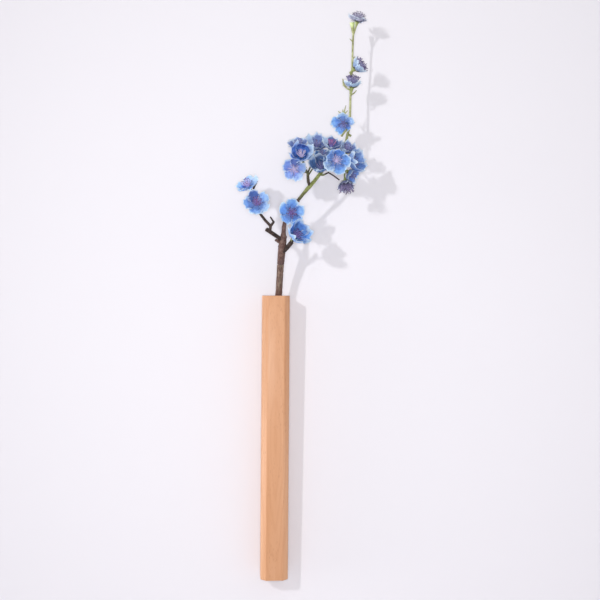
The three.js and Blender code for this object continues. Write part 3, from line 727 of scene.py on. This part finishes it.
def petal_cloth(dye):
    """Dyed fabric, coloured by how far out a point is and by cloudy dye, with painted shade on some petals
    and in the creases between them, painted light on others, and a pale rim that is partly a painted
    highlight.
    """
    material, tree, shader = new_material(dye + "_cloth", Roughness=0.75, Sheen_Weight=0.15,
                                          Sheen_Roughness=0.4, Specular_IOR_Level=0.25)
    inside, outside = DYES[dye]
    dark = attribute(tree, "dark")
    across = attribute(tree, "across")
    clouds = grain(tree, CLOUD_SCALE, detail=4, roughness=0.6)
    reach = plus(tree, attribute(tree, "reach"), times(tree, minus(tree, clouds, 0.5), CLOUD_DRIFT))
    # Painted shade: petals that point the shaded way take the deeper dye further out and a darker multiplied
    # colour, on top of their own random tone
    tone = ramp(tree, minus(tree, reach, times(tree, dark, PAINTED_SHADE_AND_TONE_SHIFT)), DYE_STOPS, inside)
    tone = mix(tree, times(tree, attribute(tree, "outside"), OUTSIDE_SHARE), tone, linear(outside))
    tone = mix(tree, times(tree, dark, PAINTED_SHADE_AND_TONE_SHARE), tone, linear(PAINTED_SHADE_AND_TONE_CLOTH), "MULTIPLY")
    # Painted shade in the creases between petals, at their sides towards the middle
    beside = span(tree, math_node(tree, "ABSOLUTE", across), *PAINTED_CREASE_SHADE_SIDES)
    painted_crease_shade = times(tree, beside, span(tree, reach, *PAINTED_CREASE_SHADE_REACH))
    tone = mix(tree, times(tree, painted_crease_shade, PAINTED_CREASE_SHADE_SHARE), tone, linear(PAINTED_CREASE_SHADE))
    blade = span(tree, reach, *BLADE_REACH)
    # Painted light on petals that point the lit way, plus their own random paler tone
    pale = times(tree, attribute(tree, "pale"), times(tree, blade, PAINTED_LIGHT_AND_TONE_SHARE))
    tone = mix(tree, pale, tone, linear(PAINTED_LIGHT_AND_TONE_CLOTH))
    # The rim is partly the cloth's paler edge and partly a painted highlight
    rim = times(tree, span(tree, attribute(tree, "edge"), *RIM_BAND), times(tree, blade, RIM_SHARE))
    tone = mix(tree, rim, tone, linear(RIM_DYE_AND_HIGHLIGHT))
    feed(tree, shader, Base_Color=tone)
    veins = math_node(tree, "SINE", times(tree, across, VEIN_WAVES))
    weave = grain(tree, WEAVE_SCALE, detail=1)
    bump(tree, shader, plus(tree, times(tree, veins, VEIN_SHARE), weave), CLOTH_RELIEF)
    return material


# Stamens: a button with a crown of filaments and their anthers, as wide and high as the CAD cap

GOLDEN_ANGLE = math.pi * (3 - math.sqrt(5))
BUTTON_BASE = 1.3 * MM
BUTTON = [(0.0, 0.0), (2.0, 0.0), (2.1, 0.5), (1.7, 1.2), (0.9, 1.7), (0.0, 1.8)]
BUTTON_SIDES = 16
ROOT_SPREAD = 1.5 * MM
ROOT_HEIGHT = 1.0 * MM
ROOT_DROP = 0.4 * MM
STRAND_STEPS = 5
STRAND_SHARES = [step / STRAND_STEPS for step in range(STRAND_STEPS + 1)]
STRAND_SIDES = 5
STRAND_SWAY = 0.2
STRAND_LEANS = (0.85, 1.1)
STRAND_LENGTHS = (0.82, 1.15)
LEAN_AT_ROOT = 1.15
LEAN_LOSS = 0.2
FILAMENT_TONE = 0.8
ANTHER_TONES = (0.86, 1.0)
ANTHER_SIZES = (0.8, 1.15)
ANTHER_STRETCH = 1.6
SPECKLE = "5a3350"
SPECKLE_SCALE = (900, 900, 900)
SPECKLE_SHARE = 0.3
STAMEN_RELIEF = (0.05 * MM, 0.5)

# A crown's count of stamens, the radius in mm of their filaments and anthers, their spread and length beside
# the CAD cap's, and their colours from the root to the anther
Crown = namedtuple("Crown", "count filament anther spread length colours")
CROWNS = {
    "dense": Crown(32, 0.19, 0.42, 1.0, 1.0, ("8478c0", "a890d0", "c09ac8", "84486c", "4c1c38")),
    "wide": Crown(34, 0.19, 0.42, 1.6, 1.0, ("8478c0", "a094d4", "b098cc", "644884", "382a5c")),
    "pearl": Crown(28, 0.2, 0.4, 1.1, 1.0, ("b8a8e0", "dcccf2", "e8d8f2", "9c7cb8", "644880")),
    "magenta": Crown(14, 0.2, 0.4, 0.8, 0.9, ("7878c0", "9c84c8", "d494c4", "cc6aa0", "a04078")),
    "soft": Crown(22, 0.22, 0.34, 1.0, 1.0, ("ccc4ec", "ece4f8", "fcf0fa", "f0d0e4", "a8708c")),
    "faint": Crown(20, 0.2, 0.34, 1.0, 1.0, ("6c70a8", "9494c4", "aca8d0", "8c7ca8", "5a4c74")),
    "tuft": Crown(60, 0.28, 0.46, 1.9, 0.8, ("7078a8", "9090bc", "a09cc2", "6a628e", "463c60")),
    "spiky": Crown(48, 0.28, 0.4, 2.2, 0.95, ("6c6c98", "8884ac", "9088b0", "5c5478", "3e364e")),
    "fan": Crown(48, 0.28, 0.38, 2.6, 1.0, ("8c8cb0", "b2b2cc", "b8b6ce", "746e88", "443c54")),
}
CROWN_STOPS = (0.0, 0.3, 0.7, 0.85, 1.0)


def filament(bm, points, radius, layer):
    """A thin tube along points, with a tone that grows from its root."""
    rings = []
    for k, (point, share) in enumerate(zip(points, STRAND_SHARES)):
        ahead = points[min(k + 1, len(points) - 1)] - points[max(k - 1, 0)]
        turn = ahead.to_track_quat("Z", "Y").to_matrix()
        ring = []
        for s in range(STRAND_SIDES):
            angle = FULL_TURN * s / STRAND_SIDES
            across = Vector((radius * math.cos(angle), radius * math.sin(angle), 0))
            vertex = bm.verts.new(point + turn @ across)
            vertex[layer] = FILAMENT_TONE * share
            ring.append(vertex)
        rings.append(ring)
    join_rings(bm, rings)
    bm.faces.new(reversed(rings[0]))
    bm.faces.new(rings[-1])


def anther(bm, place, ahead, radius, layer, tone):
    """A small longish bead at the end of a filament."""
    turn = ahead.to_track_quat("Z", "Y").to_matrix().to_4x4()
    size = Matrix.Diagonal((radius, radius, ANTHER_STRETCH * radius, 1))
    shape = Matrix.Translation(place) @ turn @ size
    for vertex in bmesh.ops.create_icosphere(bm, subdivisions=2, radius=1, matrix=shape)["verts"]:
        vertex[layer] = tone


def stamen_mesh(blossom, crown):
    """A button with its stamens, which lean out more towards the edge of the crown."""
    rng = random.Random("stamens " + blossom.name)
    cap = blossom.local(cad_points("stamens_" + blossom.name))
    root = BUTTON_BASE + ROOT_HEIGHT
    height = cap[:, 2].max() - root
    spread = np.hypot(cap[:, 0], cap[:, 1]).max() - ROOT_SPREAD
    reach = crown.length * math.hypot(height, spread)
    widest = math.atan2(crown.spread * spread, height)
    up = Vector((0, 0, 1))
    bm = bmesh.new()
    layer = bm.verts.layers.float.new("tip")
    lathe(bm, [(r * MM, BUTTON_BASE + z * MM) for r, z in BUTTON], BUTTON_SIDES, (0, 0))
    for k in range(crown.count):
        angle = k * GOLDEN_ANGLE + rng.uniform(-STRAND_SWAY, STRAND_SWAY)
        share = math.sqrt((k + 0.5) / crown.count)
        lean = widest * share * rng.uniform(*STRAND_LEANS)
        length = reach * rng.uniform(*STRAND_LENGTHS)
        side = Vector((math.cos(angle), math.sin(angle), 0))
        start = side * (ROOT_SPREAD * share) + up * (root - ROOT_DROP * share)
        points = []
        for along in STRAND_SHARES:
            bend = lean * (LEAN_AT_ROOT - LEAN_LOSS * along)
            points.append(start + (side * math.sin(bend) + up * math.cos(bend)) * (length * along))
        filament(bm, points, crown.filament * MM, layer)
        bead = crown.anther * rng.uniform(*ANTHER_SIZES) * MM
        anther(bm, points[-1], points[-1] - points[-2], bead, layer, rng.uniform(*ANTHER_TONES))
    mesh = to_mesh(bm, "stamens_" + blossom.name)
    mesh.transform(blossom.matrix)
    return mesh


def stamen_plastic(kind):
    material, tree, shader = new_material(kind + "_stamens", Roughness=0.5)
    speckle = grain(tree, SPECKLE_SCALE, detail=2)
    tone = ramp(tree, attribute(tree, "tip"), CROWN_STOPS, CROWNS[kind].colours)
    tone = mix(tree, times(tree, speckle, SPECKLE_SHARE), tone, linear(SPECKLE))
    feed(tree, shader, Base_Color=tone)
    bump(tree, shader, speckle, STAMEN_RELIEF)
    return material


# Sepals: five pointed leaves under the petals, between their lobes

SEPAL_STEPS = 8
SEPAL_ROW = (-1, -0.5, 0, 0.5, 1)
SEPAL_START = 1.6 * MM
SEPAL_HALF = 1.25 * MM
SEPAL_POINT = 0.05 * MM
SEPAL_ROOT = 0.28
SEPAL_FULLNESS = 0.8
SEPAL_RISE = 0.8
SEPAL_DROP = 0.75 * MM
SEPAL_DROOP = 0.5 * MM
SEPAL_TROUGH = 0.25 * MM
SEPAL_SWAY = 0.1
SEPAL_LENGTHS = (0.85, 1.15)
SEPAL_STOPS = (0.0, 0.6, 1.0)
SEPAL_COLOURS = ("8f9457", "7d8450", "5f5a44")
SEPAL_MOTTLE = "a9ae7c"
MOTTLE_SCALE = (600, 600, 600)
MOTTLE_SHARE = 0.5
SEPAL_RELIEF = (0.08 * MM, 0.6)


def sepal_mesh(blossom, length_share):
    rng = random.Random("sepals " + blossom.name)
    bm = bmesh.new()
    layer = bm.verts.layers.float.new("tip")
    for k in range(PETALS):
        sway = rng.uniform(-SEPAL_SWAY, SEPAL_SWAY)
        turn = Matrix.Rotation(FULL_TURN * (k + 0.5) / PETALS + sway, 3, "Z")
        length = length_share * blossom.radius * rng.uniform(*SEPAL_LENGTHS)
        droop = rng.uniform(0.0, SEPAL_DROOP)
        rows = []
        for i in range(SEPAL_STEPS + 1):
            share = i / SEPAL_STEPS
            out = SEPAL_START + length * share
            bulge = math.sin(math.pi * min(1, SEPAL_ROOT + (1 - SEPAL_ROOT) * share))
            half = SEPAL_HALF * bulge ** SEPAL_FULLNESS + SEPAL_POINT
            middle = SEPAL_RISE * blossom.rise(out) - SEPAL_DROP - droop * share
            row = []
            for j in SEPAL_ROW:
                vertex = bm.verts.new(turn @ Vector((out, half * j, middle + SEPAL_TROUGH * j * j)))
                vertex[layer] = share
                row.append(vertex)
            rows.append(row)
        join_rows(bm, rows)
    add_backs(bm)
    mesh = to_mesh(bm, "sepals_" + blossom.name)
    mesh.transform(blossom.matrix)
    return mesh


def sepal_leaf():
    material, tree, shader = new_material("sepal", Roughness=0.65)
    mottle = grain(tree, MOTTLE_SCALE)
    tone = ramp(tree, attribute(tree, "tip"), SEPAL_STOPS, SEPAL_COLOURS)
    tone = mix(tree, times(tree, mottle, MOTTLE_SHARE), tone, linear(SEPAL_MOTTLE))
    feed(tree, shader, Base_Color=tone)
    bump(tree, shader, mottle, SEPAL_RELIEF)
    return material


leaf = sepal_leaf()
cloths = {dye: petal_cloth(dye) for dye in DYES}
plastics = {kind: stamen_plastic(kind) for kind in CROWNS}
for name, look in BLOSSOM_LOOKS.items():
    blossom = BLOSSOMS[name]
    corolla = corolla_mesh(blossom, look)
    piece("corolla_" + name, corolla, "spray", cloths[look.dye], ["petals_" + name])
    stamens = stamen_mesh(blossom, CROWNS[look.stamens])
    piece("stamen_tuft_" + name, stamens, "spray", plastics[look.stamens], ["stamens_" + name])
    piece("sepals_" + name, sepal_mesh(blossom, look.sepals), "spray", leaf)


# Stems: a skin over each CAD sprig, with its bark raised in the mesh

BARK_STOPS = (0.0, 0.5, 1.0)
BARK_ROUGHNESS = (0.55, 0.85)
BARK_RELIEF = (0.12 * MM, 0.6)
PATCH_SCALE = (190, 190, 45)
PATCH_BAND = (0.62, 0.78)
PATCH_SHARE = 0.7
FINE_SCALE = (1500, 1500, 700)
FINE_SHARE = 0.35
CALYX_GREEN = "8f9a5c"
CALYX_SHARE = 0.85
CALYX_REACH = 3.6 * MM
CALYX_FOOT = -13 * MM
CALYX_TOP = -4 * MM

# The two empty calyx cups of the top branch: where each one opens and how deep it is pale
CUP_PALE = "d8e8a8"
CUP_MOUTHS = (Vector((78.9, -21.8, 441)) * MM, Vector((69.2, -25.6, 343.4)) * MM)
CUP_DEPTHS = (7 * MM, 2.5 * MM)
CUP_CORE = 0.4

# Waves are in repeats per mm. The fractal has a smoothness, a step of scale and a count of layers.
COARSE_WAVES = 0.45
COARSE_FRACTAL = (0.7, 2.0, 3)
COARSE_SHARE = 0.55
RIDGE_WAVES = 0.9
RIDGE_START = Vector((9, 4, 2))
RIDGE_MIDDLE = 0.75
RIDGE_SHARE = 0.9
RELIEF_CONTRAST = 0.9
SKIN_LIFT = 0.02 * MM
SKIN_SMOOTHING = 0.5
SKIN_PASSES = 8
SWELL_SPAN = (140 * MM, 149 * MM)


def bark(name, tones, patches, patch_share=0.0, foot=None, foot_span=None):
    """Bark coloured by its relief, with patches and, below a span of heights in mm, a foot."""
    material, tree, shader = new_material(name, Specular_IOR_Level=0.3)
    tone = ramp(tree, attribute(tree, "relief"), BARK_STOPS, tones)
    start, end = PATCH_BAND
    spots = span(tree, grain(tree, PATCH_SCALE), start - patch_share, end - patch_share)
    tone = mix(tree, times(tree, spots, PATCH_SHARE), tone, linear(patches))
    if foot:
        low, high = foot_span
        tone = mix(tree, span(tree, height_above(tree), high * MM, low * MM), tone, linear(foot))
    tone = mix(tree, times(tree, attribute(tree, "calyx"), CALYX_SHARE), tone, linear(CALYX_GREEN))
    tone = mix(tree, attribute(tree, "mouth"), tone, linear(CUP_PALE))
    fine = grain(tree, FINE_SCALE)
    tone = mix(tree, times(tree, fine, FINE_SHARE), tone, linear(tones[0]))
    feed(tree, shader, Base_Color=tone, Roughness=span(tree, fine, 0.0, 1.0, *BARK_ROUGHNESS))
    bump(tree, shader, fine, BARK_RELIEF)
    return material


def remeshed(node, voxel):
    """A smooth closed skin over a CAD node."""
    carrier = bpy.data.objects.new(node + "_source", to_mesh(cad_bmesh(node), node + "_source"))
    bpy.context.scene.collection.objects.link(carrier)
    shell = carrier.modifiers.new("shell", "REMESH")
    shell.mode = "VOXEL"
    shell.voxel_size = voxel
    smooth = carrier.modifiers.new("smooth", "SMOOTH")
    smooth.factor = SKIN_SMOOTHING
    smooth.iterations = SKIN_PASSES
    mesh = bpy.data.meshes.new_from_object(carrier.evaluated_get(bpy.context.evaluated_depsgraph_get()))
    bpy.data.objects.remove(carrier)
    return mesh


def calyx_share(places):
    """How green each point is: 1 on a calyx, fading down its stalk."""
    share = np.zeros(len(places))
    for blossom in BLOSSOMS.values():
        seen = blossom.local(places)
        near = np.hypot(seen[:, 0], seen[:, 1]) < CALYX_REACH
        near &= seen[:, 2] < PETAL_HOLE
        share = np.maximum(share, near * smoothstep(CALYX_FOOT, CALYX_TOP, seen[:, 2]))
    return share


def mouth_share(places):
    """How pale each point is: 1 inside an empty calyx cup."""
    share = np.zeros(len(places))
    for mouth, depth in zip(CUP_MOUTHS, CUP_DEPTHS):
        away = np.linalg.norm(places - np.array(mouth), axis=1)
        share = np.maximum(share, smoothstep(depth, CUP_CORE * depth, away))
    return share


def bark_height(place, stretch):
    """How far the bark stands out at a place, from about -1 to 1."""
    at = place / MM
    at.z *= stretch
    coarse = noise.fractal(at * COARSE_WAVES, *COARSE_FRACTAL)
    ridge = 1 - abs(noise.noise(at * RIDGE_WAVES + RIDGE_START))
    return COARSE_SHARE * coarse + RIDGE_SHARE * (ridge - RIDGE_MIDDLE)


def bark_mesh(node, voxel, relief, stretch, swell):
    """A skin with ridges of a given height along its length, and fuller by swell above the mouth."""
    mesh = remeshed(node, voxel)
    places = vertex_rows(mesh)
    heights = np.array([bark_height(vertex.co, stretch) for vertex in mesh.vertices])
    normals = np.array([vertex.normal for vertex in mesh.vertices])
    fuller = swell * smoothstep(*SWELL_SPAN, places[:, 2])
    raised = places + normals * (relief * heights + SKIN_LIFT + fuller)[:, None]
    mesh.vertices.foreach_set("co", raised.astype(np.float32).ravel())
    float_attribute(mesh, "relief", np.clip(heights * RELIEF_CONTRAST + 0.5, 0, 1))
    float_attribute(mesh, "calyx", calyx_share(places))
    float_attribute(mesh, "mouth", mouth_share(places))
    mesh.shade_smooth()
    return mesh


BROWN = bark("brown_bark", ("44332e", "70594f", "93806f"), "77735f", patch_share=0.08, foot="5c3a31",
             foot_span=(148, 162))
FORK = bark("fork_bark", ("3a2826", "614740", "7d665c"), "5c4e50", patch_share=0.08)
DARK = bark("dark_bark", ("1d1513", "3a2d29", "5b4b43"), "4a4634")
TOPPED = bark("olive_topped_bark", ("3b3a26", "5f6240", "808458"), "4a4038", foot="42362f",
              foot_span=(268, 282))
OLIVE = bark("olive_stem", ("565a2c", "788046", "9fa56a"), "5c5a30", foot="4a3f36", foot_span=(249, 262))
PALE_OLIVE = bark("pale_olive_stem", ("74764a", "9fa274", "c0c298"), "847c56", foot="767c46",
                  foot_span=(308, 330))

# Per sprig: material, slot, voxel and ridge height in mm, how far the ridges are drawn out, and swell in mm
STEMS = {
    "lower_stem": (BROWN, "bark", 0.35, 0.30, 0.3, 0.4),
    "fork_stem": (FORK, "bark", 0.30, 0.35, 0.5, 0.3),
    "left_twig": (DARK, "dark_bark", 0.25, 0.22, 0.8, 0.15),
    "right_twig": (DARK, "dark_bark", 0.25, 0.25, 0.8, 0.15),
    "main_branch": (OLIVE, "green_stem", 0.25, 0.18, 0.8, 0.1),
    "bare_twig": (DARK, "dark_bark", 0.2, 0.12, 1.0, 0.0),
    "cluster_twig": (TOPPED, "dark_bark", 0.22, 0.18, 0.6, 0.0),
    "side_twig": (OLIVE, "green_stem", 0.22, 0.12, 0.8, 0.0),
    "top_branch": (PALE_OLIVE, "green_stem", 0.22, 0.12, 0.5, 0.0),
}
for node, (material, slot, voxel, relief, stretch, swell) in STEMS.items():
    skin = bark_mesh(node, voxel * MM, relief * MM, stretch, swell * MM)
    piece(node + "_bark", skin, "spray", material, [node])


# Wall and floor

WALL_LEAN = math.radians(1.5)
WALL_GAP = 3.0 * MM
WALL_SIZE = 4.0
FLOOR_DROP = 0.45
PAINT = (0.745, 0.727, 0.765, 1.0)
PAINT_SHADE = (0.685, 0.668, 0.703, 1.0)
PAINT_SCALE = (3, 3, 3)
PAINT_DRIFT = 0.04


def paint(name, one_sided):
    """Matt white paint. One-sided paint is seen through from behind."""
    material, tree, shader = new_material(name, Roughness=0.9, Specular_IOR_Level=0.1)
    drift = times(tree, grain(tree, PAINT_SCALE, detail=2), PAINT_DRIFT)
    feed(tree, shader, Base_Color=mix(tree, drift, PAINT, PAINT_SHADE))
    if one_sided:
        back = add(tree, "ShaderNodeNewGeometry").outputs["Backfacing"]
        clear = add(tree, "ShaderNodeBsdfTransparent").outputs[0]
        both = add(tree, "ShaderNodeMixShader", {0: back, 1: shader.outputs[0], 2: clear})
        tree.links.new(both.outputs[0], tree.nodes["Material Output"].inputs["Surface"])
    return material


def sheet_of(name, corners, material):
    """A flat sheet of the stage."""
    mesh = bpy.data.meshes.new(name)
    mesh.from_pydata(corners, [], [range(len(corners))])
    mesh.materials.append(material)
    obj = bpy.data.objects.new(name, mesh)
    bpy.context.scene.collection.objects.link(obj)
    return obj


foot = cad_low.z
half = WALL_SIZE / 2
floor_z = foot - FLOOR_DROP


def wall_y(z):
    """The wall's depth: it stands close behind the foot of the vase and leans back from there."""
    return WALL_GAP + (z - foot) * math.tan(WALL_LEAN)


wall = sheet_of("wall", [(-half, wall_y(floor_z), floor_z), (half, wall_y(floor_z), floor_z),
                         (half, wall_y(half), half), (-half, wall_y(half), half)], paint("wall_paint", True))
wall.visible_shadow = False
sheet_of("floor", [(-half, -half, floor_z), (half, -half, floor_z), (half, half, floor_z),
                   (-half, half, floor_z)], paint("floor_paint", False))


# Camera as in the photograph: level, a little to the left, and rolled a little

CAMERA_AT = Vector((-43.2, -1028.4, 145.5)) * MM
CAMERA_TURN = math.radians(3.9)
CAMERA_ROLL = math.radians(0.4)
CAMERA_LENS = 57.1
CAMERA_SENSOR = 36.0

camera = bpy.data.objects.new("camera", bpy.data.cameras.new("camera"))
camera.data.sensor_width = CAMERA_SENSOR
camera.data.lens = CAMERA_LENS
camera.location = CAMERA_AT
camera.rotation_euler = (Matrix.Rotation(-CAMERA_TURN, 3, "Z") @ Matrix.Rotation(math.pi / 2, 3, "X")
                         @ Matrix.Rotation(CAMERA_ROLL, 3, "Z")).to_euler()
bpy.context.scene.collection.objects.link(camera)
bpy.context.scene.camera = camera
bpy.context.scene.view_settings.view_transform = "Standard"


# Soft light: a key from the upper left, a fill from the camera, and a room with bright sides and top

KEY_AT = Vector((-617, -1075, 516)) * MM
KEY_AIM = Vector((2000, -800, 100)) * MM
KEY_SIZE = 0.06
KEY_WATTS = 8.3
FILL_SIZE = 0.12
FILL_WATTS = 4.2
ROOM = 0.35
ROOM_LEFT = 5.8
ROOM_LEFT_BAND = (-0.9, -0.98)
ROOM_RIGHT = 0.42
ROOM_RIGHT_BAND = (0.0, 1.0)
ROOM_TOP = 0.32
ROOM_TOP_BAND = (-0.2, 0.9)
ROOM_COLOUR = (1.0, 0.99, 1.0, 1.0)


def lamp(name, place, aim, size, watts):
    obj = bpy.data.objects.new(name, bpy.data.lights.new(name, "AREA"))
    obj.data.size = size
    obj.data.energy = watts
    obj.location = place
    obj.rotation_euler = (place - aim).to_track_quat("Z", "Y").to_euler()
    bpy.context.scene.collection.objects.link(obj)


def room():
    """Light from all round that is stronger from the left, from the right and from above."""
    world = bpy.data.worlds.new("room")
    world.use_nodes = True
    tree = world.node_tree
    around = add(tree, "ShaderNodeTexCoord").outputs["Generated"]
    way = add(tree, "ShaderNodeSeparateXYZ", {0: around}).outputs
    left = times(tree, span(tree, way["X"], *ROOM_LEFT_BAND), ROOM_LEFT)
    right = times(tree, span(tree, way["X"], *ROOM_RIGHT_BAND), ROOM_RIGHT)
    above = times(tree, span(tree, way["Z"], *ROOM_TOP_BAND), ROOM_TOP)
    strength = plus(tree, plus(tree, plus(tree, left, right), above), ROOM)
    background = tree.nodes["Background"]
    background.inputs["Color"].default_value = ROOM_COLOUR
    tree.links.new(strength, background.inputs["Strength"])
    return world


lamp("key", KEY_AT, KEY_AIM, KEY_SIZE, KEY_WATTS)
lamp("fill", CAMERA_AT, (cad_low + cad_high) / 2, FILL_SIZE, FILL_WATTS)
bpy.context.scene.world = room()
